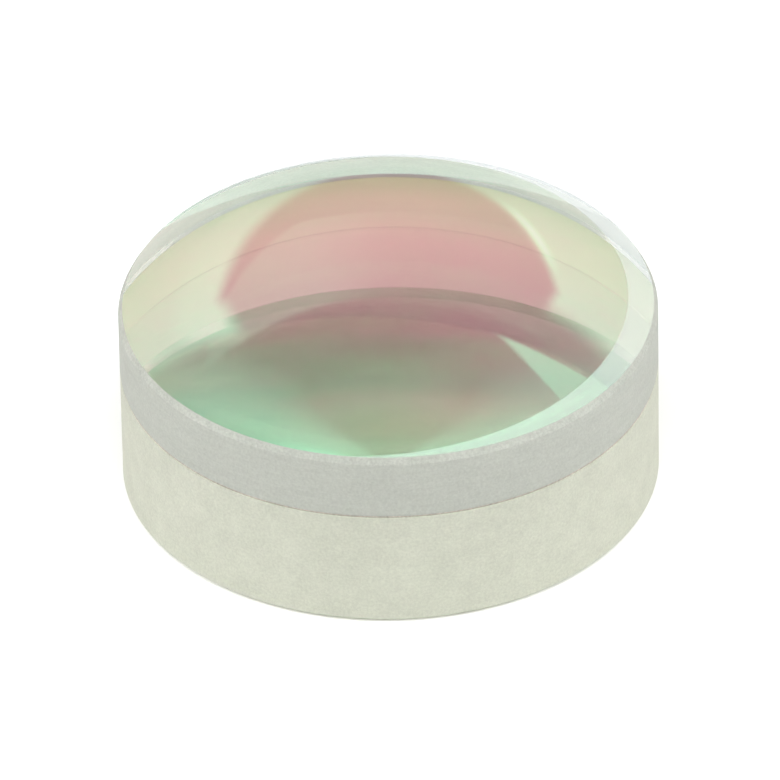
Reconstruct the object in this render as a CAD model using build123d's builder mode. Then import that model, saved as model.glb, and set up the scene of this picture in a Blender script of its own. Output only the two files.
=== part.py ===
from build123d import *
import math
import os

# A cemented achromatic doublet, lying on its nearly flat face with its strong face up.
# The origin is the centre of the ring that the lens lies on, and +Z is the optical axis.

# Outline of the pair, in millimetres
diameter = 12.70
crown_edge = 1.57  # height of the crown's ground edge, bevels included
flint_edge = 3.00  # height of the flint's ground edge, bevels included

# Radii of curvature, in millimetres
top_radius = 14.10  # strong convex face of the crown, pointing up
joint_radius = 14.30  # the matched faces, convex on the crown and concave on the flint
bottom_radius = 250.00  # nearly flat face of the flint, slightly hollow and pointing down

# The joint and the protective bevels, in millimetres
cement_thickness = 0.03  # measured along the optical axis
outer_bevel = 0.11  # ground on the two outer edges
joint_bevel = 0.03  # ground on both edges that meet at the joint
cement_recess = 0.015  # how far the cement stays inside the ground edge

# Refractive indices for the focal length that is printed, of a dense crown and a dense flint glass
crown_index = 1.640
flint_index = 1.785

semi_diameter = diameter / 2
foot_radius = semi_diameter - outer_bevel  # of the ring that the lens lies on, inside its lower bevel


def sag(radius, height):
    """Depth of a spherical face of this radius, out to this height from the axis."""
    return radius - math.sqrt(radius**2 - height**2)


def half_angle(radius, height):
    """Angle in degrees that a face spans from the axis, seen from its centre of curvature."""
    return math.degrees(math.asin(height / radius))


# Heights where the faces, if carried on without bevels, meet the ground edge
flint_bottom_rim = sag(bottom_radius, foot_radius) - sag(bottom_radius, semi_diameter)
flint_top_rim = flint_bottom_rim + flint_edge
crown_bottom_rim = flint_top_rim + cement_thickness
crown_top_rim = crown_bottom_rim + crown_edge

# Heights of the faces on the optical axis
flint_bottom_vertex = flint_bottom_rim + sag(bottom_radius, semi_diameter)
flint_top_vertex = flint_top_rim - sag(joint_radius, semi_diameter)
crown_bottom_vertex = crown_bottom_rim - sag(joint_radius, semi_diameter)
crown_top_vertex = crown_top_rim + sag(top_radius, semi_diameter)

# Centres of curvature on the optical axis
bottom_centre = (0, flint_bottom_vertex - bottom_radius)
flint_top_centre = (0, flint_top_vertex + joint_radius)
crown_bottom_centre = (0, crown_bottom_vertex + joint_radius)
crown_top_centre = (0, crown_top_vertex - top_radius)

down = -90  # direction of a face's vertex seen from a centre above it, in degrees
up = 90  # and from a centre below it

# The crown: biconvex, with its strong face up and its ground edge between two bevels
with BuildPart() as crown_element:
    with BuildSketch(Plane.XZ):
        with BuildLine():
            lower_face = CenterArc(crown_bottom_centre, joint_radius, down, half_angle(joint_radius, semi_diameter))
            upper_face = CenterArc(crown_top_centre, top_radius, up, -half_angle(top_radius, semi_diameter))
            Line(lower_face @ 1, upper_face @ 1)
            Line(lower_face @ 0, upper_face @ 0)
        make_face()
    revolve(axis=Axis.Z)
    crown_rims = crown_element.edges().filter_by(Edge.is_closed).sort_by(Axis.Z)
    chamfer(crown_rims[-1], length=outer_bevel)
    chamfer(crown_rims[0], length=joint_bevel)
crown_element.part.label = "crown_element"

# The flint: hollowed above to take the crown, nearly flat below, and thickest at its edge
with BuildPart() as flint_element:
    with BuildSketch(Plane.XZ):
        with BuildLine():
            lower_face = CenterArc(bottom_centre, bottom_radius, up, -half_angle(bottom_radius, semi_diameter))
            upper_face = CenterArc(flint_top_centre, joint_radius, down, half_angle(joint_radius, semi_diameter))
            Line(lower_face @ 1, upper_face @ 1)
            Line(lower_face @ 0, upper_face @ 0)
        make_face()
    revolve(axis=Axis.Z)
    flint_rims = flint_element.edges().filter_by(Edge.is_closed).sort_by(Axis.Z)
    chamfer(flint_rims[-1], length=joint_bevel)
    chamfer(flint_rims[0], length=outer_bevel)
flint_element.part.label = "flint_element"

# The cement fills what is left between the two glasses, out to just inside the ground edge
with BuildPart() as cement_layer:
    blank_bottom = flint_top_vertex / 2
    blank_top = crown_bottom_rim + joint_bevel
    with BuildSketch(Plane.XY.offset(blank_bottom)):
        Circle(semi_diameter - cement_recess)
    extrude(amount=blank_top - blank_bottom)
    add(flint_element.part, mode=Mode.SUBTRACT)
    add(crown_element.part, mode=Mode.SUBTRACT)
cement_layer.part.label = "cement_layer"


def focal_length():
    """Follow a ray close to the axis through the three faces and return the focal length."""
    faces = [
        (top_radius, crown_index, crown_top_vertex - crown_bottom_vertex),
        (-joint_radius, flint_index, flint_top_vertex - flint_bottom_vertex),
        (bottom_radius, 1.0, 0.0),
    ]
    height = 1.0
    index = 1.0
    slope_times_index = 0.0
    for radius, next_index, thickness in faces:
        slope_times_index -= height * (next_index - index) / radius
        height += slope_times_index / next_index * thickness
        index = next_index
    return -1.0 / slope_times_index


crown_thickness = crown_top_vertex - crown_bottom_vertex
flint_thickness = flint_top_vertex - flint_bottom_vertex
print(f"thickness on the axis: crown {crown_thickness:.2f}, flint {flint_thickness:.2f} mm")
print(f"height over all {crown_top_vertex:.2f} mm, ground edge {crown_top_rim - flint_bottom_rim:.2f} mm")
print(f"focal length about {focal_length():.1f} mm")

os.makedirs("parts", exist_ok=True)
export_step(crown_element.part, "parts/crown_element.step")
export_step(flint_element.part, "parts/flint_element.step")
export_step(cement_layer.part, "parts/cement_layer.step")
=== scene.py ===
import math
from collections import namedtuple

import bpy
from bpy.props import FloatProperty, FloatVectorProperty, IntProperty, PointerProperty
from mathutils import Matrix, Vector


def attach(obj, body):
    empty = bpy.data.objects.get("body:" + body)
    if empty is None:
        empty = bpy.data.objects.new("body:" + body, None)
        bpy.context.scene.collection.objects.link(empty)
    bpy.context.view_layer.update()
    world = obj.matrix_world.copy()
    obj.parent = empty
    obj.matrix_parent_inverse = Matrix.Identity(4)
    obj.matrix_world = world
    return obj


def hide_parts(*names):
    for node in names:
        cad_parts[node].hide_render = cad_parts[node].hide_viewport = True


bl_info = {
    "name": "Cemented Achromatic Doublet",
    "version": (1, 0, 0),
    "blender": (4, 5, 0),
    "location": "3D View > Sidebar > Doublet",
    "description": "Builds a coated, cemented pair of lens elements and the stage it is shown on",
    "category": "Add Mesh",
}

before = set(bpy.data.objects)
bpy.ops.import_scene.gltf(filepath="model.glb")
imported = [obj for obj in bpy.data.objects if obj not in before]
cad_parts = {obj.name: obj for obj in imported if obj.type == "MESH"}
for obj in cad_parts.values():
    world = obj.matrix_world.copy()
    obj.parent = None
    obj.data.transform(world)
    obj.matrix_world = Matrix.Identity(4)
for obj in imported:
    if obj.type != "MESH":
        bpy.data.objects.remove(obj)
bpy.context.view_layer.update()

MM = 0.001
AXIS = 0.0  # radius of the optical axis
MERGE_DISTANCE = 1e-6  # closes the seam and the pole of every turned face
SHARP_ANGLE = math.radians(15)  # edges that turn by more than this stay crisp
CEMENT_STAND_OFF = 1e-6  # keeps the cement's lower face clear of the flint below it
MARGIN_START = 0.9  # share of the radius beyond which a face's rings stand closer
MARGIN_RINGS = 6
WALL_ROWS = 6


# Sizes and colours that a user would change

class LensOutline(bpy.types.PropertyGroup):
    """The outline that both elements share."""

    diameter: FloatProperty(
        name="Diameter", description="Diameter of the ground edge",
        default=12.70 * MM, unit="LENGTH")
    crown_edge: FloatProperty(
        name="Crown edge", description="Height of the crown's ground edge, bevels included",
        default=1.57 * MM, unit="LENGTH")
    flint_edge: FloatProperty(
        name="Flint edge", description="Height of the flint's ground edge, bevels included",
        default=3.00 * MM, unit="LENGTH")
    outer_bevel: FloatProperty(
        name="Outer bevel", description="Bevel ground on the two outer edges",
        default=0.11 * MM, unit="LENGTH")
    joint_bevel: FloatProperty(
        name="Joint bevel", description="Bevel ground on both edges at the joint",
        default=0.03 * MM, unit="LENGTH")
    cement_thickness: FloatProperty(
        name="Cement thickness", description="Thickness of the cement along the optical axis",
        default=0.03 * MM, unit="LENGTH")
    cement_recess: FloatProperty(
        name="Cement recess", description="How far the cement stays inside the ground edge",
        default=0.015 * MM, unit="LENGTH")
    rings: IntProperty(
        name="Rings", description="Rings of faces between the axis and the edge",
        default=48, min=8)
    segments: IntProperty(
        name="Segments", description="Faces around the edge", default=256, min=32)


class LensFaces(bpy.types.PropertyGroup):
    """Curvature, glass and coating of the polished faces."""

    top_radius: FloatProperty(
        name="Top radius", description="Radius of the crown's strong upper face",
        default=14.10 * MM, unit="LENGTH")
    joint_radius: FloatProperty(
        name="Joint radius", description="Radius of the cemented faces",
        default=14.30 * MM, unit="LENGTH")
    bottom_radius: FloatProperty(
        name="Bottom radius", description="Radius of the flint's slightly hollow lower face",
        default=250.0 * MM, unit="LENGTH")
    crown_index: FloatProperty(
        name="Crown index", description="Refractive index of the crown glass", default=1.517)
    flint_index: FloatProperty(
        name="Flint index", description="Refractive index of the flint glass", default=1.648)
    coated_radius: FloatProperty(
        name="Coated radius", description="Radius of the coated disc on the upper face",
        default=6.08 * MM, unit="LENGTH")
    coated_centre: FloatVectorProperty(
        name="Coated centre", description="Centre of the coated disc, a little off the optical axis",
        default=(-0.42 * MM, -0.14 * MM, 0.0), subtype="TRANSLATION", size=3)
    passed_tint: FloatVectorProperty(
        name="Passed tint", description="Tint of the light that the lower coating passes",
        default=(0.955, 1.0, 0.82), subtype="COLOR", size=3)


class LensFinish(bpy.types.PropertyGroup):
    """Colours of the ground glass and of the cement."""

    flint_ground: FloatVectorProperty(
        name="Flint edge colour", description="Colour of the flint's ground edge",
        default=(0.74, 0.76, 0.66), subtype="COLOR", size=3)
    crown_ground: FloatVectorProperty(
        name="Crown edge colour", description="Colour of the crown's ground edge",
        default=(0.60, 0.62, 0.58), subtype="COLOR", size=3)
    cement: FloatVectorProperty(
        name="Cement colour", description="Colour of the bead of cement at the joint",
        default=(0.62, 0.55, 0.50), subtype="COLOR", size=3)


class StageSettings(bpy.types.PropertyGroup):
    """Floor, light and camera."""

    floor_radius: FloatProperty(
        name="Floor radius", description="Radius of the pale floor", default=0.6, unit="LENGTH")
    camera_distance: FloatProperty(
        name="Camera distance", description="Distance from the camera to the middle of the lower rim",
        default=0.300, unit="LENGTH")
    camera_elevation: FloatProperty(
        name="Camera elevation", description="Angle of the camera above the floor",
        default=math.radians(35.51), subtype="ANGLE")
    camera_roll: FloatProperty(
        name="Camera roll", description="Turn of the camera about its own axis, clockwise positive",
        default=math.radians(1.02), subtype="ANGLE")
    camera_lens: FloatProperty(
        name="Camera lens", description="Focal length of the camera in millimetres", default=583.9)


# Node trees

class Tree:
    """A node tree with short calls for adding nodes and joining them."""

    def __init__(self, tree):
        self.tree = tree

    def node(self, kind, inputs=(), **settings):
        made = self.tree.nodes.new(kind)
        for name, value in settings.items():
            setattr(made, name, value)
        for key, value in dict(inputs).items():
            self.feed(made.inputs[key], value)
        return made

    def feed(self, socket, value):
        if isinstance(value, bpy.types.Node):
            value = value.outputs[0]
        if isinstance(value, bpy.types.NodeSocket):
            self.tree.links.new(value, socket)
        else:
            socket.default_value = value

    def math(self, operation, *values, clamp=False):
        kind = "ShaderNodeMath"
        made = self.node(kind, enumerate(values), operation=operation, use_clamp=clamp)
        return made.outputs[0]

    def mix(self, factor, low, high):
        made = self.node("ShaderNodeMix", {0: factor, 2: low, 3: high})
        return made.outputs[0]

    def tint(self, factor, low, high):
        made = self.node("ShaderNodeMix", {0: factor, 6: low, 7: high}, data_type="RGBA")
        return made.outputs[2]


def node_group(name, inputs, outputs):
    """An empty geometry node group with the named sockets."""
    group = bpy.data.node_groups.new(name, "GeometryNodeTree")
    for label, kind in inputs:
        group.interface.new_socket(label, in_out="INPUT", socket_type=kind)
    for label, kind in outputs:
        group.interface.new_socket(label, in_out="OUTPUT", socket_type=kind)
    tree = Tree(group)
    given = tree.node("NodeGroupInput").outputs
    wanted = tree.node("NodeGroupOutput").inputs
    return group, tree, given, wanted


FLOAT = "NodeSocketFloat"
INT = "NodeSocketInt"
GEOMETRY = "NodeSocketGeometry"
MATERIAL = "NodeSocketMaterial"


def face_height_group():
    """Height of a spherical face at a radius, from its height at the rim."""
    group, tree, given, wanted = node_group(
        "Face Height",
        [("Rim Radius", FLOAT), ("Rim Height", FLOAT), ("Curvature", FLOAT), ("Radius", FLOAT)],
        [("Height", FLOAT)])

    def sag(radius):
        bent = tree.math("MULTIPLY", given["Curvature"], radius)
        root = tree.math("SQRT", tree.math("SUBTRACT", 1.0, tree.math("MULTIPLY", bent, bent)))
        return tree.math(
            "DIVIDE", tree.math("MULTIPLY", bent, radius), tree.math("ADD", 1.0, root))

    vertex = tree.math("ADD", given["Rim Height"], sag(given["Rim Radius"]))
    tree.feed(wanted["Height"], tree.math("SUBTRACT", vertex, sag(given["Radius"])))
    return group


def turned_grid(tree, rows, segments):
    """A flat grid, with its two sides read as a step from start to end and a turn."""
    grid = tree.node("GeometryNodeMeshGrid", {
        "Size X": 1.0, "Size Y": 1.0,
        "Vertices X": tree.math("ADD", rows, 1.0), "Vertices Y": tree.math("ADD", segments, 1.0)})
    place = tree.node("ShaderNodeSeparateXYZ", {0: tree.node("GeometryNodeInputPosition")})
    step = tree.math("ADD", place.outputs["X"], 0.5)
    turn = tree.math("MULTIPLY", tree.math("ADD", place.outputs["Y"], 0.5), math.tau)
    return grid, step, tree.math("COSINE", turn), tree.math("SINE", turn)


def turned_mesh(tree, given, grid, radius, height, cosine, sine):
    """The grid moved to this radius and height about the optical axis, in its material."""
    place = tree.node("ShaderNodeCombineXYZ", {
        "X": tree.math("MULTIPLY", radius, cosine),
        "Y": tree.math("MULTIPLY", radius, sine),
        "Z": height})
    moved = tree.node("GeometryNodeSetPosition", {"Geometry": grid, "Position": place})
    return tree.node("GeometryNodeSetMaterial", {"Geometry": moved, "Material": given["Material"]})


def turned_face_group(face_height):
    """A ring of a spherical face between two radii."""
    group, tree, given, wanted = node_group(
        "Turned Face",
        [("Rim Radius", FLOAT), ("Rim Height", FLOAT), ("Curvature", FLOAT),
         ("Start Radius", FLOAT), ("End Radius", FLOAT),
         ("Rows", INT), ("Segments", INT), ("Material", MATERIAL)],
        [("Mesh", GEOMETRY)])
    grid, step, cosine, sine = turned_grid(tree, given["Rows"], given["Segments"])
    radius = tree.mix(step, given["Start Radius"], given["End Radius"])
    height = tree.node("GeometryNodeGroup", {
        "Rim Radius": given["Rim Radius"], "Rim Height": given["Rim Height"],
        "Curvature": given["Curvature"], "Radius": radius}, node_tree=face_height)
    tree.feed(wanted["Mesh"], turned_mesh(tree, given, grid, radius, height, cosine, sine))
    return group


def turned_band_group():
    """A straight band turned about the optical axis, from one edge to another."""
    group, tree, given, wanted = node_group(
        "Turned Band",
        [("Start Radius", FLOAT), ("Start Height", FLOAT),
         ("End Radius", FLOAT), ("End Height", FLOAT),
         ("Rows", INT), ("Segments", INT), ("Material", MATERIAL)],
        [("Mesh", GEOMETRY)])
    grid, step, cosine, sine = turned_grid(tree, given["Rows"], given["Segments"])
    radius = tree.mix(step, given["Start Radius"], given["End Radius"])
    height = tree.mix(step, given["Start Height"], given["End Height"])
    tree.feed(wanted["Mesh"], turned_mesh(tree, given, grid, radius, height, cosine, sine))
    return group


ELEMENT_INPUTS = [
    ("Radius", FLOAT), ("Top Rim", FLOAT), ("Bottom Rim", FLOAT),
    ("Top Curvature", FLOAT), ("Bottom Curvature", FLOAT),
    ("Top Bevel", FLOAT), ("Bottom Bevel", FLOAT), ("Margin Start", FLOAT),
    ("Rings", INT), ("Margin Rings", INT), ("Wall Rows", INT), ("Segments", INT),
    ("Top Finish", MATERIAL), ("Bottom Finish", MATERIAL),
    ("Edge Finish", MATERIAL), ("Bevel Finish", MATERIAL),
]


def element_group(face_height, turned_face, turned_band):
    """A lens element: two spherical faces, two bevels and a cylindrical edge."""
    group, tree, given, wanted = node_group("Lens Element", ELEMENT_INPUTS, [("Mesh", GEOMETRY)])

    def bevel_start(curvature, rim, bevel):
        """Radius and height where a face gives way to its bevel."""
        slope = tree.math("MULTIPLY", curvature, given["Radius"])
        run = tree.math("SQRT", tree.math("SUBTRACT", 1.0, tree.math("MULTIPLY", slope, slope)))
        radius = tree.math("SUBTRACT", given["Radius"], tree.math("MULTIPLY", bevel, run))
        height = tree.node("GeometryNodeGroup", {
            "Rim Radius": given["Radius"], "Rim Height": rim,
            "Curvature": curvature, "Radius": radius}, node_tree=face_height)
        return radius, height.outputs[0]

    def face(side, start, end, rows):
        made = tree.node("GeometryNodeGroup", {
            "Rim Radius": given["Radius"], "Rim Height": given[side + " Rim"],
            "Curvature": given[side + " Curvature"], "Start Radius": start, "End Radius": end,
            "Rows": rows, "Segments": given["Segments"], "Material": given[side + " Finish"]},
            node_tree=turned_face)
        return made.outputs[0]

    def band(start, end, rows, finish):
        made = tree.node("GeometryNodeGroup", {
            "Start Radius": start[0], "Start Height": start[1],
            "End Radius": end[0], "End Height": end[1],
            "Rows": rows, "Segments": given["Segments"], "Material": finish},
            node_tree=turned_band)
        return made.outputs[0]

    top = bevel_start(given["Top Curvature"], given["Top Rim"], given["Top Bevel"])
    bottom = bevel_start(given["Bottom Curvature"], given["Bottom Rim"], given["Bottom Bevel"])
    wall_top = (given["Radius"], tree.math("SUBTRACT", given["Top Rim"], given["Top Bevel"]))
    wall_bottom = (given["Radius"], tree.math("ADD", given["Bottom Rim"], given["Bottom Bevel"]))
    parts = [
        face("Top", AXIS, given["Margin Start"], given["Rings"]),
        face("Top", given["Margin Start"], top[0], given["Margin Rings"]),
        band(top, wall_top, 1, given["Bevel Finish"]),
        band(wall_top, wall_bottom, given["Wall Rows"], given["Edge Finish"]),
        band(wall_bottom, bottom, 1, given["Bevel Finish"]),
        face("Bottom", bottom[0], AXIS, given["Rings"]),
    ]
    joined = tree.node("GeometryNodeJoinGeometry")
    for part in parts:
        tree.tree.links.new(part, joined.inputs[0])
    closed = tree.node("GeometryNodeMergeByDistance", {"Geometry": joined, "Distance": MERGE_DISTANCE})
    smooth = tree.node("GeometryNodeSetShadeSmooth", {"Geometry": closed, "Shade Smooth": True})
    turn = tree.node("GeometryNodeInputMeshEdgeAngle").outputs["Unsigned Angle"]
    sharp = tree.node("FunctionNodeCompare", {0: turn, 1: SHARP_ANGLE}, operation="GREATER_THAN")
    crisp = tree.node("GeometryNodeSetShadeSmooth", {
        "Geometry": smooth, "Selection": sharp, "Shade Smooth": False}, domain="EDGE")
    real = tree.node("GeometryNodeRealizeInstances", {"Geometry": crisp})
    tree.feed(wanted["Mesh"], real)
    return group


def element_tree():
    """The lens element's tree, made once."""
    made = bpy.data.node_groups.get("Lens Element")
    if made is None:
        face_height = face_height_group()
        made = element_group(face_height, turned_face_group(face_height), turned_band_group())
    return made


def build_element(name, sizes):
    """Runs the lens element's tree with the given sizes and keeps the result as a plain mesh."""
    tree = element_tree()
    known = {item.name: item.identifier for item in tree.interface.items_tree
             if item.in_out == "INPUT"}
    former = bpy.data.objects.new(name + "_former", bpy.data.meshes.new(name + "_former"))
    bpy.context.scene.collection.objects.link(former)
    modifier = former.modifiers.new("Lens Element", "NODES")
    modifier.node_group = tree
    for label, value in sizes.items():
        modifier[known[label]] = value
    view = bpy.context.evaluated_depsgraph_get()
    mesh = bpy.data.meshes.new_from_object(former.evaluated_get(view), depsgraph=view)
    bpy.data.objects.remove(former)
    mesh.name = name
    piece = bpy.data.objects.new(name, mesh)
    bpy.context.scene.collection.objects.link(piece)
    return piece


# Materials

def new_material(name):
    material = bpy.data.materials.new(name)
    material.use_nodes = True
    material.node_tree.nodes.clear()
    tree = Tree(material.node_tree)
    return material, tree, tree.node("ShaderNodeOutputMaterial")


def clear_glass(tree, index, roughness=0.0):
    return tree.node("ShaderNodeBsdfPrincipled", {
        "Base Color": (1.0, 1.0, 1.0, 1.0), "Roughness": roughness, "IOR": index,
        "Transmission Weight": 1.0})


def polished(name, index):
    """Bare polished glass."""
    material, tree, out = new_material(name)
    tree.feed(out.inputs["Surface"], clear_glass(tree, index))
    return material


# What a coating mirrors of red, green and blue: some of each straight on, and a rise about a
# slanting angle, its peak, over a width. It fades beyond one angle, holds up to another, and
# mirrors nearly all at the grazing one. Angles are in air, in degrees.
Coating = namedtuple("Coating", "straight rise peak width fade last grazing")
TOP_COATING = Coating(
    straight=(0.12, 0.24, 0.21), rise=(0.08, 0.39, 0.19), peak=(39, 43, 41), width=(15, 18, 15),
    fade=69, last=82, grazing=89)
BOTTOM_COATING = Coating(
    straight=(0.07, 0.07, 0.07), rise=(0.77, 0.49, 0.54), peak=(79, 79, 79), width=(14, 14, 14),
    fade=88, last=88, grazing=89.5)
GRAZING_SHARE = 0.95
ANGLE_STEP = 4  # between the stops of a coating's ramp, in degrees
SQUARE_ON = 90  # from the surface to its normal, in degrees


def share_at(coating, angle):
    """What the coating mirrors of red, green and blue at this angle in air."""
    fading = min(1.0, (SQUARE_ON - angle) / (SQUARE_ON - coating.fade))
    return tuple(
        fading * (straight + rise * math.exp(-((angle - peak) / width) ** 2))
        for straight, rise, peak, width in zip(
            coating.straight, coating.rise, coating.peak, coating.width))


def mirrored_share(tree, facing, coating, index):
    """Colour ramp of what a coating mirrors, over the angle inside a glass of this index."""
    angles = list(range(0, coating.last, ANGLE_STEP)) + [coating.last]
    shares = [(angle, share_at(coating, angle)) for angle in angles]
    shares.append((coating.grazing, (GRAZING_SHARE,) * 3))
    ramp = tree.node("ShaderNodeValToRGB", {0: facing})
    stops = ramp.color_ramp.elements
    while len(stops) < len(shares):
        stops.new(0.5)
    for stop, (angle, share) in zip(stops, shares):
        inside = math.asin(math.sin(math.radians(angle)) / index)
        stop.position = 1 - math.cos(inside)
        stop.color = (*share, 1.0)
    return ramp.outputs[0]


MARK_LENGTHS = (0.16, 1.0, 1.0)  # draws the marks out along X
MARK_SCALE = 800.0
MARK_SEEN = (0.42, 0.75)  # values of the noise where a mark starts and is strongest
MARK_STRENGTH = 0.40
MARK_GREY = (0.30, 0.30, 0.30, 1.0)  # what a marked spot mirrors


def wipe_marks(tree):
    """Faint drawn-out marks that wiping and polishing leave."""
    place = tree.node("ShaderNodeTexCoord").outputs["Object"]
    drawn = tree.node("ShaderNodeMapping", {"Vector": place, "Scale": MARK_LENGTHS})
    marks = tree.node("ShaderNodeTexNoise", {
        "Vector": drawn, "Scale": MARK_SCALE, "Detail": 5.0, "Roughness": 0.6, "Distortion": 0.3})
    return tree.node("ShaderNodeMapRange", {
        "Value": marks.outputs["Fac"], "From Min": MARK_SEEN[0], "From Max": MARK_SEEN[1],
        "To Max": MARK_STRENGTH}).outputs[0]


DISC_EDGE = (-0.05 * MM, 0.02 * MM)  # where the coating thins out, from the disc's radius
HAZE = (0.66, 0.74, 0.80, 1.0)
HAZE_SHARE = 0.30


def hazy_margin(tree, surface, index, centre, radius):
    """The surface inside a disc about the centre, and hazy bare glass beyond it."""
    flat = tree.node("ShaderNodeMapping", {
        "Vector": tree.node("ShaderNodeTexCoord").outputs["Object"], "Scale": (1.0, 1.0, 0.0)})
    out_from = tree.node(
        "ShaderNodeVectorMath", {0: flat, 1: centre}, operation="DISTANCE").outputs["Value"]
    beyond = tree.node("ShaderNodeMapRange", {
        "Value": out_from, "From Min": radius + DISC_EDGE[0], "From Max": radius + DISC_EDGE[1]},
        interpolation_type="SMOOTHSTEP").outputs[0]
    haze = tree.node("ShaderNodeBsdfDiffuse", {"Color": HAZE})
    bare = tree.node("ShaderNodeMixShader", {0: HAZE_SHARE, 1: clear_glass(tree, index), 2: haze})
    return tree.node("ShaderNodeMixShader", {0: beyond, 1: surface, 2: bare})


def coated(name, index, coating, tint=(1.0, 1.0, 1.0), disc=None):
    """Polished glass under a coating that mirrors one colour and passes the rest.

    The coating may end at a disc, given as its centre and radius, with hazy bare glass beyond."""
    material, tree, out = new_material(name)
    facing = tree.node("ShaderNodeLayerWeight", {"Blend": 0.5}).outputs["Facing"]
    from_inside = tree.node("ShaderNodeNewGeometry").outputs["Backfacing"]
    mirrored = tree.tint(
        from_inside, mirrored_share(tree, facing, coating, 1.0),
        mirrored_share(tree, facing, coating, index))
    mirrored = tree.tint(wipe_marks(tree), mirrored, MARK_GREY)
    passed = tree.node(
        "ShaderNodeMix", {0: 1.0, 6: (*tint, 1.0), 7: mirrored}, data_type="RGBA",
        blend_type="SUBTRACT", clamp_result=True).outputs[2]
    mirror = tree.node("ShaderNodeBsdfGlossy", {"Color": mirrored, "Roughness": 0.0})
    lens = tree.node("ShaderNodeBsdfRefraction", {"Color": passed, "Roughness": 0.0, "IOR": index})
    surface = tree.node("ShaderNodeAddShader", {0: mirror, 1: lens})
    if disc:
        surface = hazy_margin(tree, surface, index, *disc)
    tree.feed(out.inputs["Surface"], surface)
    return material


def see_through(name):
    """A face inside the joint that light crosses without bending."""
    material, tree, out = new_material(name)
    clear = tree.node("ShaderNodeBsdfTransparent", {"Color": (1.0, 1.0, 1.0, 1.0)})
    tree.feed(out.inputs["Surface"], clear)
    return material


MOTTLE_SCALE = 1500.0
LINE_SCALE = 1100.0
LINE_LENGTHS = (1.0, 1.0, 9.0)  # packs the lines closely along Z
GRAIN_SCALE = 16000.0
CLOUD_CONTRAST = 1.1
GRAIN_CONTRAST = 1.7
GROUND_ROUGHNESS = (0.42, 0.62)
RELIEF_DEPTH = 0.012 * MM
GLOW_SHARE = 0.6  # of the light that a ground face lets through
INSIDE_ROUGHNESS = 0.08


def ground(name, colour, streaks, contrast=0.12, clear_index=None):
    """Fine ground glass that scatters light on its way in and out, or is clear from inside."""
    material, tree, out = new_material(name)
    place = tree.node("ShaderNodeTexCoord").outputs["Object"]
    along = tree.node("ShaderNodeMapping", {"Vector": place, "Scale": LINE_LENGTHS})
    mottle = tree.node("ShaderNodeTexNoise", {
        "Vector": place, "Scale": MOTTLE_SCALE, "Detail": 7.0, "Roughness": 0.62}).outputs["Fac"]
    lines = tree.node("ShaderNodeTexNoise", {
        "Vector": along, "Scale": LINE_SCALE, "Detail": 6.0, "Roughness": 0.65}).outputs["Fac"]
    grain = tree.node("ShaderNodeTexNoise", {
        "Vector": place, "Scale": GRAIN_SCALE, "Detail": 3.0, "Roughness": 0.7}).outputs["Fac"]
    cloud = tree.mix(streaks, mottle, lines)
    shade = tree.math("MULTIPLY_ADD", tree.math("SUBTRACT", cloud, 0.5), CLOUD_CONTRAST, 0.5)
    specks = tree.math("MULTIPLY", tree.math("SUBTRACT", grain, 0.5), GRAIN_CONTRAST)
    shade = tree.math("ADD", shade, specks, clamp=True)
    dark = tuple((1 - contrast) * part for part in colour) + (1.0,)
    pale = tuple(min(1.0, (1 + contrast) * part) for part in colour) + (1.0,)
    shown = tree.tint(shade, dark, pale)
    relief = tree.node("ShaderNodeBump", {
        "Strength": 0.35, "Distance": RELIEF_DEPTH, "Height": tree.math("ADD", grain, cloud)})
    skin = tree.node("ShaderNodeBsdfPrincipled", {
        "Base Color": shown, "Roughness": tree.mix(grain, *GROUND_ROUGHNESS), "IOR": 1.5,
        "Normal": relief})
    glow = tree.node("ShaderNodeBsdfTranslucent", {"Color": shown, "Normal": relief})
    surface = tree.node("ShaderNodeMixShader", {0: GLOW_SHARE, 1: skin, 2: glow})
    if clear_index:
        from_inside = tree.node("ShaderNodeNewGeometry").outputs["Backfacing"]
        clear = clear_glass(tree, clear_index, INSIDE_ROUGHNESS)
        surface = tree.node("ShaderNodeMixShader", {0: from_inside, 1: surface, 2: clear})
    tree.feed(out.inputs["Surface"], surface)
    return material


# Heights shared by the pieces

def sag(radius, height):
    """Depth of a spherical face out to this height from the axis."""
    return radius - math.sqrt(radius**2 - height**2)


def rims(outline, faces):
    """Heights of the lower and upper rim of each element, with the lens lying on the floor."""
    radius = outline.diameter / 2
    foot = radius - outline.outer_bevel  # of the ring that the lens lies on
    flint_bottom = sag(faces.bottom_radius, foot) - sag(faces.bottom_radius, radius)
    flint_top = flint_bottom + outline.flint_edge
    crown_bottom = flint_top + outline.cement_thickness
    return flint_bottom, flint_top, crown_bottom, crown_bottom + outline.crown_edge


def element_sizes(outline, **own):
    """The sizes that every element shares, with its own added."""
    radius = outline.diameter / 2
    sizes = {
        "Radius": radius, "Margin Start": radius * MARGIN_START,
        "Rings": outline.rings, "Margin Rings": MARGIN_RINGS, "Wall Rows": WALL_ROWS,
        "Segments": outline.segments,
    }
    sizes.update(own)
    return sizes


def finish_piece(piece, node):
    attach(piece, "root")
    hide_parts(node)


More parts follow.
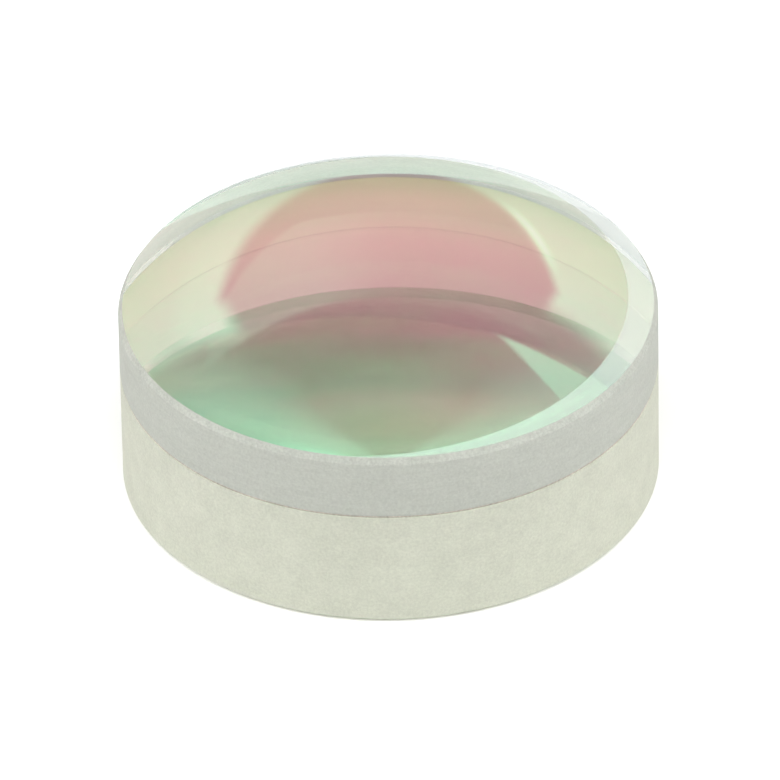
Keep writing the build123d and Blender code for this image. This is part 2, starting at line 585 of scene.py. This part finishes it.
class DOUBLET_OT_crown_element(bpy.types.Operator):
    """Make the crown element, with its coated upper face and ground edge"""

    bl_idname = "doublet.crown_element"
    bl_label = "Make Crown Element"

    def execute(self, context):
        outline = context.scene.doublet_outline
        faces = context.scene.doublet_faces
        finish = context.scene.doublet_finish
        _, _, low, high = rims(outline, faces)
        disc = (tuple(faces.coated_centre), faces.coated_radius)
        coating = coated("coated_crown_polish", faces.crown_index, TOP_COATING, disc=disc)
        piece = build_element("crown_lens", element_sizes(outline, **{
            "Top Rim": high, "Bottom Rim": low,
            "Top Curvature": 1 / faces.top_radius, "Bottom Curvature": -1 / faces.joint_radius,
            "Top Bevel": outline.outer_bevel, "Bottom Bevel": outline.joint_bevel,
            "Top Finish": coating,
            "Edge Finish": ground("ground_crown_edge", finish.crown_ground, 0.7),
            "Bottom Finish": see_through("cemented_crown_face"),
            "Bevel Finish": ground(
                "crown_bevel", finish.crown_ground, 0.2, 0.20, faces.crown_index)}))
        finish_piece(piece, "crown_element")
        return {"FINISHED"}


class DOUBLET_OT_flint_element(bpy.types.Operator):
    """Make the flint element, with its cemented hollow, coated lower face and ground edge"""

    bl_idname = "doublet.flint_element"
    bl_label = "Make Flint Element"

    def execute(self, context):
        outline = context.scene.doublet_outline
        faces = context.scene.doublet_faces
        finish = context.scene.doublet_finish
        low, high, _, _ = rims(outline, faces)
        joint = polished("cemented_flint_face", faces.flint_index / faces.crown_index)
        coating = coated(
            "coated_flint_polish", faces.flint_index, BOTTOM_COATING, faces.passed_tint)
        piece = build_element("flint_lens", element_sizes(outline, **{
            "Top Rim": high, "Bottom Rim": low,
            "Top Curvature": -1 / faces.joint_radius, "Bottom Curvature": 1 / faces.bottom_radius,
            "Top Bevel": outline.joint_bevel, "Bottom Bevel": outline.outer_bevel,
            "Top Finish": joint,
            "Edge Finish": ground("ground_flint_edge", finish.flint_ground, 0.15),
            "Bottom Finish": coating,
            "Bevel Finish": ground(
                "flint_bevel", finish.flint_ground, 0.2, 0.15, faces.flint_index)}))
        finish_piece(piece, "flint_element")
        return {"FINISHED"}


class DOUBLET_OT_cement_layer(bpy.types.Operator):
    """Make the film of cement between the two elements, with its bead at the edge"""

    bl_idname = "doublet.cement_layer"
    bl_label = "Make Cement Layer"

    def execute(self, context):
        outline = context.scene.doublet_outline
        faces = context.scene.doublet_faces
        finish = context.scene.doublet_finish
        _, low, high, _ = rims(outline, faces)
        clear = see_through("clear_cement")
        bead = ground("cement_bead", finish.cement, 0.2, 0.45)
        piece = build_element("cement_film", element_sizes(outline, **{
            "Radius": outline.diameter / 2 - outline.cement_recess,
            "Top Rim": high, "Bottom Rim": low + CEMENT_STAND_OFF,
            "Top Curvature": -1 / faces.joint_radius, "Bottom Curvature": -1 / faces.joint_radius,
            "Top Bevel": 0.0, "Bottom Bevel": 0.0,
            "Top Finish": clear, "Bottom Finish": clear,
            "Edge Finish": bead, "Bevel Finish": bead}))
        finish_piece(piece, "cement_layer")
        return {"FINISHED"}


class DOUBLET_OT_stage(bpy.types.Operator):
    """Make the pale floor, the soft studio light and the camera"""

    bl_idname = "doublet.stage"
    bl_label = "Make Stage"

    def execute(self, context):
        stage = context.scene.doublet_stage
        make_floor(stage)
        make_light(context.scene)
        make_camera(context.scene, stage)
        return {"FINISHED"}


FLOOR_CORNERS = 96
FLOOR_FIBRE_SCALE = 260.0
FLOOR_SHADES = ((0.885, 0.885, 0.880, 1.0), (0.915, 0.915, 0.915, 1.0))


def make_floor(stage):
    mesh = bpy.data.meshes.new("floor")
    turns = [math.tau * i / FLOOR_CORNERS for i in range(FLOOR_CORNERS)]
    ring = [(stage.floor_radius * math.cos(turn), stage.floor_radius * math.sin(turn), 0.0)
            for turn in turns]
    mesh.from_pydata(ring, [], [tuple(range(FLOOR_CORNERS))])
    floor = bpy.data.objects.new("floor", mesh)
    bpy.context.scene.collection.objects.link(floor)
    material, tree, out = new_material("pale_floor")
    fibre = tree.node("ShaderNodeTexNoise", {
        "Vector": tree.node("ShaderNodeTexCoord").outputs["Object"],
        "Scale": FLOOR_FIBRE_SCALE, "Detail": 8.0})
    shown = tree.tint(fibre.outputs["Fac"], *FLOOR_SHADES)
    sheet = tree.node("ShaderNodeBsdfDiffuse", {"Color": shown})
    tree.feed(out.inputs["Surface"], sheet)
    mesh.materials.append(material)


# The studio, as directions from the lens: x to the right, y away from the camera, z up, each
# from -1 to 1. A pair is where something starts and is full, and three are low, high and edge.
GAP_FOOT = 0.06  # half the width of the dark gap behind the lens, where it starts
GAP_GROWTH = 0.50
GAP_LIMIT = 0.345
RIGHT_WALL_EDGE = (-0.015, 0.020)
RIGHT_WALL_TOP = (0.70, 0.60)
RIGHT_WALL_LEVEL = 0.80
LEFT_WALL_EDGE = (0.025, -0.025)
LEFT_WALL_SLOPE = -0.53
LEFT_WALL_TOP = (0.95, 0.87)
LEFT_WALL_FADE = (-0.14, -0.08)
LEFT_WALL_LEVELS = (0.74, 0.84)
SHEET_SLOPE = 0.77
SHEET_EDGE = (0.10, 0.13)
SHEET_HEIGHTS = (0.333, 0.75, 0.012)
SHEET_FADE = (0.04, -0.17)
SHEET_LEVELS = (0.06, 0.22)
SLIT_HEIGHTS = (0.609, 0.77, 0.006)
SLIT_LEVEL = 0.03
CEILING_SIDES = (27.0, 64.0)  # in degrees from the direction behind the lens
CEILING_FADE = (0.0, 0.2)
CEILING_LEVELS = (0.60, 0.46)
OVERHEAD_HEIGHTS = (0.90, 1.0)
OVERHEAD_EDGE = (0.54, 0.50)
OVERHEAD_RISE = 0.20
OVERHEAD_LEVEL = 0.03
LAMP_FRONT_SLOPE = 0.38
LAMP_FRONT = (0.655, 0.635)
LAMP_SIDE_SLOPE = 0.87
LAMP_SIDE = (0.725, 0.755)
LAMP_LEVEL = 0.62
EDGE_LIGHT_ACROSS = (0.006, 0.024, 0.010)
EDGE_LIGHT_HEIGHTS = (0.20, 0.44, 0.09)
EDGE_LIGHT_LEVEL = 0.6
SIDE_BOX_SIDES = (62.0, 88.0)
SIDE_BOX_LEVEL = 3.1
CAMERA_BOX_SIDES = (105.0, 145.0)
CAMERA_BOX_HEIGHTS = (0.45, 0.70)
CAMERA_BOX_LEVELS = (0.5, 2.6)
BACKDROP_LEVEL = 0.93  # what the camera sees beyond the floor
BOUNCES = 24
GLOSSY_BOUNCES = 12
DIFFUSE_BOUNCES = 6


def make_light(scene):
    world = bpy.data.worlds.new("studio")
    world.use_nodes = True
    world.node_tree.nodes.clear()
    tree = Tree(world.node_tree)
    way = tree.node("ShaderNodeSeparateXYZ", {0: tree.node("ShaderNodeTexCoord").outputs["Generated"]})
    x, y, z = way.outputs
    aside = tree.math("ABSOLUTE", tree.math("DEGREES", tree.math("ARCTAN2", x, y)))

    def soft(value, low, high):
        made = tree.node("ShaderNodeMapRange", {
            "Value": value, "From Min": low, "From Max": high}, interpolation_type="SMOOTHSTEP")
        return made.outputs[0]

    def window(value, low, high, edge):
        return tree.math(
            "MULTIPLY", soft(value, low - edge, low + edge), soft(value, high + edge, high - edge))

    # Behind the lens: two pale side walls with a dark gap between them that widens upwards
    gap = tree.math("MINIMUM", tree.math("MULTIPLY_ADD", z, GAP_GROWTH, GAP_FOOT), GAP_LIMIT)
    past_right = tree.math("SUBTRACT", x, gap)
    past_left = tree.math("ADD", x, gap)
    right_wall = tree.math(
        "MULTIPLY", soft(past_right, *RIGHT_WALL_EDGE), soft(z, *RIGHT_WALL_TOP))
    left_height = tree.math("MULTIPLY_ADD", x, LEFT_WALL_SLOPE, z)
    left_wall = tree.math(
        "MULTIPLY", soft(past_left, *LEFT_WALL_EDGE), soft(left_height, *LEFT_WALL_TOP))
    left_level = tree.mix(soft(past_left, *LEFT_WALL_FADE), *LEFT_WALL_LEVELS)
    # Inside the gap: a dim sheet, brighter on the left, whose edge leaves a dark frame
    sheet = tree.math(
        "MULTIPLY", soft(tree.math("MULTIPLY_ADD", z, SHEET_SLOPE, x), *SHEET_EDGE),
        window(z, *SHEET_HEIGHTS))
    sheet = tree.math("MULTIPLY", sheet, tree.mix(soft(x, *SHEET_FADE), *SHEET_LEVELS))
    slit = tree.math("MULTIPLY", window(z, *SLIT_HEIGHTS), SLIT_LEVEL)
    sheet = tree.math("ADD", sheet, slit)
    # Above: a ceiling to either side, a dim patch overhead and a lamp high on the right
    ceiling = tree.math(
        "MULTIPLY", soft(aside, *CEILING_SIDES), tree.mix(soft(x, *CEILING_FADE), *CEILING_LEVELS))
    overhead = tree.math("MULTIPLY_ADD", soft(z, *OVERHEAD_HEIGHTS), OVERHEAD_RISE, OVERHEAD_LEVEL)
    overhead = tree.math("MULTIPLY", soft(y, *OVERHEAD_EDGE), overhead)
    level = tree.math("MAXIMUM", tree.math("MAXIMUM", ceiling, sheet), overhead)
    lamp = tree.math(
        "MULTIPLY", soft(tree.math("MULTIPLY_ADD", x, LAMP_FRONT_SLOPE, y), *LAMP_FRONT),
        soft(tree.math("MULTIPLY_ADD", y, LAMP_SIDE_SLOPE, x), *LAMP_SIDE))
    level = tree.math("MAXIMUM", level, tree.math("MULTIPLY", lamp, LAMP_LEVEL))
    level = tree.mix(right_wall, level, RIGHT_WALL_LEVEL)
    level = tree.mix(left_wall, level, left_level)
    edge_light = tree.math(
        "MULTIPLY", window(past_right, *EDGE_LIGHT_ACROSS), window(z, *EDGE_LIGHT_HEIGHTS))
    level = tree.math("MULTIPLY_ADD", edge_light, EDGE_LIGHT_LEVEL, level)
    # Beside and behind the camera: large soft boxes, brightest above
    level = tree.mix(soft(aside, *SIDE_BOX_SIDES), level, SIDE_BOX_LEVEL)
    boxes = tree.mix(soft(z, *CAMERA_BOX_HEIGHTS), *CAMERA_BOX_LEVELS)
    level = tree.mix(soft(aside, *CAMERA_BOX_SIDES), level, boxes)
    seen = tree.mix(
        tree.node("ShaderNodeLightPath").outputs["Is Camera Ray"], level, BACKDROP_LEVEL)
    glow = tree.node("ShaderNodeBackground", {"Color": (1.0, 1.0, 1.0, 1.0), "Strength": seen})
    tree.feed(tree.node("ShaderNodeOutputWorld").inputs["Surface"], glow)
    scene.world = world
    scene.view_settings.view_transform = "Standard"
    cycles = scene.cycles
    cycles.max_bounces = BOUNCES
    cycles.transmission_bounces = BOUNCES
    cycles.glossy_bounces = GLOSSY_BOUNCES
    cycles.transparent_max_bounces = BOUNCES
    cycles.diffuse_bounces = DIFFUSE_BOUNCES


CAMERA_AIM = (0.01 * MM, 1.02 * MM, 1.43 * MM)  # from the middle of the lower rim
SENSOR_WIDTH = 36.0
NEAREST_SEEN = 0.01


def make_camera(scene, stage):
    low = rims(scene.doublet_outline, scene.doublet_faces)[0]
    across = stage.camera_distance * math.cos(stage.camera_elevation)
    up = stage.camera_distance * math.sin(stage.camera_elevation)
    place = Vector((0.0, -across, up + low))
    aim = Vector(CAMERA_AIM) + Vector((0.0, 0.0, low))
    turn = (aim - place).to_track_quat("-Z", "Y")
    roll = Matrix.Rotation(-stage.camera_roll, 4, "Z")
    camera = bpy.data.objects.new("camera", bpy.data.cameras.new("camera"))
    camera.matrix_world = Matrix.Translation(place) @ turn.to_matrix().to_4x4() @ roll
    camera.data.sensor_width = SENSOR_WIDTH
    camera.data.lens = stage.camera_lens
    camera.data.clip_start = NEAREST_SEEN
    scene.collection.objects.link(camera)
    scene.camera = camera


class DOUBLET_PT_panel(bpy.types.Panel):
    """Sizes, finishes and operators of the doublet"""

    bl_label = "Achromatic Doublet"
    bl_idname = "DOUBLET_PT_panel"
    bl_space_type = "VIEW_3D"
    bl_region_type = "UI"
    bl_category = "Doublet"

    def draw(self, context):
        for group in (context.scene.doublet_outline, context.scene.doublet_faces,
                      context.scene.doublet_finish, context.scene.doublet_stage):
            box = self.layout.box()
            for name in group.__annotations__:
                box.prop(group, name)
        for operator in OPERATORS:
            self.layout.operator(operator.bl_idname)


SETTINGS = {
    "doublet_outline": LensOutline,
    "doublet_faces": LensFaces,
    "doublet_finish": LensFinish,
    "doublet_stage": StageSettings,
}
OPERATORS = (
    DOUBLET_OT_crown_element,
    DOUBLET_OT_flint_element,
    DOUBLET_OT_cement_layer,
    DOUBLET_OT_stage,
)


def register():
    for name, group in SETTINGS.items():
        bpy.utils.register_class(group)
        setattr(bpy.types.Scene, name, PointerProperty(type=group))
    for operator in OPERATORS:
        bpy.utils.register_class(operator)
    bpy.utils.register_class(DOUBLET_PT_panel)


def unregister():
    bpy.utils.unregister_class(DOUBLET_PT_panel)
    for operator in reversed(OPERATORS):
        bpy.utils.unregister_class(operator)
    for name, group in reversed(SETTINGS.items()):
        delattr(bpy.types.Scene, name)
        bpy.utils.unregister_class(group)


def main():
    register()
    bpy.ops.doublet.crown_element()
    bpy.ops.doublet.flint_element()
    bpy.ops.doublet.cement_layer()
    bpy.ops.doublet.stage()
    bpy.context.view_layer.update()


if __name__ == "__main__":
    main()
